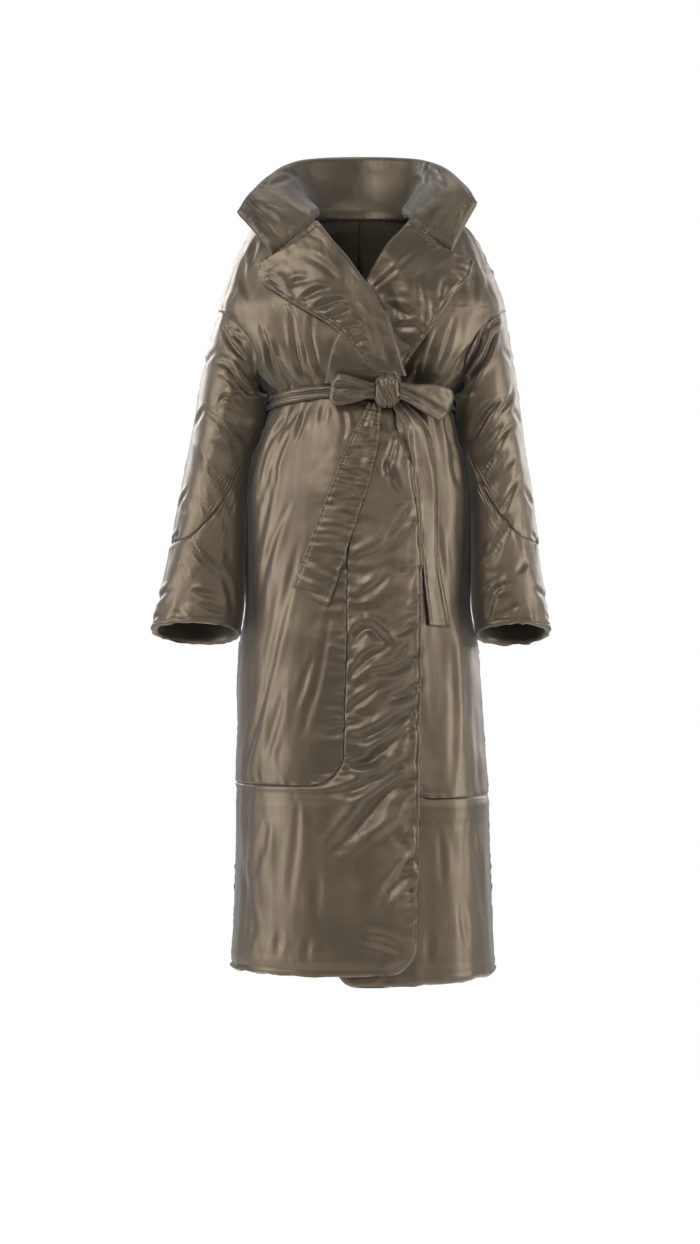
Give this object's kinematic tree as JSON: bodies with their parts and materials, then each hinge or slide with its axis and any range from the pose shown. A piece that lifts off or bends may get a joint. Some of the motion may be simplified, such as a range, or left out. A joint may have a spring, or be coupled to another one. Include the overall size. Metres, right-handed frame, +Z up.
{
  "type": "long padded wrap coat",
  "caption": "Long padded wrap coat as worn, hollow, with a standing collar, wide lapels, full sleeves and a belt tied in a bow.",
  "frame": {"origin": "base of the neck, midway between the shoulders that carry the coat", "axes": "+Z up, +Y towards the coat's back, +X towards the wearer's left"},
  "size_m": [0.5851, 0.3371, 1.2458],
  "materials": {
    "shell": "satin, padded, olive brown",
    "belt": "satin, flat tube, olive brown"
  },
  "bodies": {
    "root": {"back_left": "shell", "back_right": "shell", "back_hem_band": "shell", "right_front": "shell", "right_front_band": "shell", "left_front": "shell", "left_front_band": "shell", "right_sleeve_upper": "shell", "right_sleeve_lower": "shell", "left_sleeve_upper": "shell", "left_sleeve_lower": "shell", "right_lapel": "shell", "left_lapel": "shell", "collar": "shell", "belt_band": "belt", "belt_knot": "belt", "belt_loop_right": "belt", "belt_loop_left": "belt", "belt_tail_right": "belt", "belt_tail_left": "belt"}
  },
  "joints": []
}
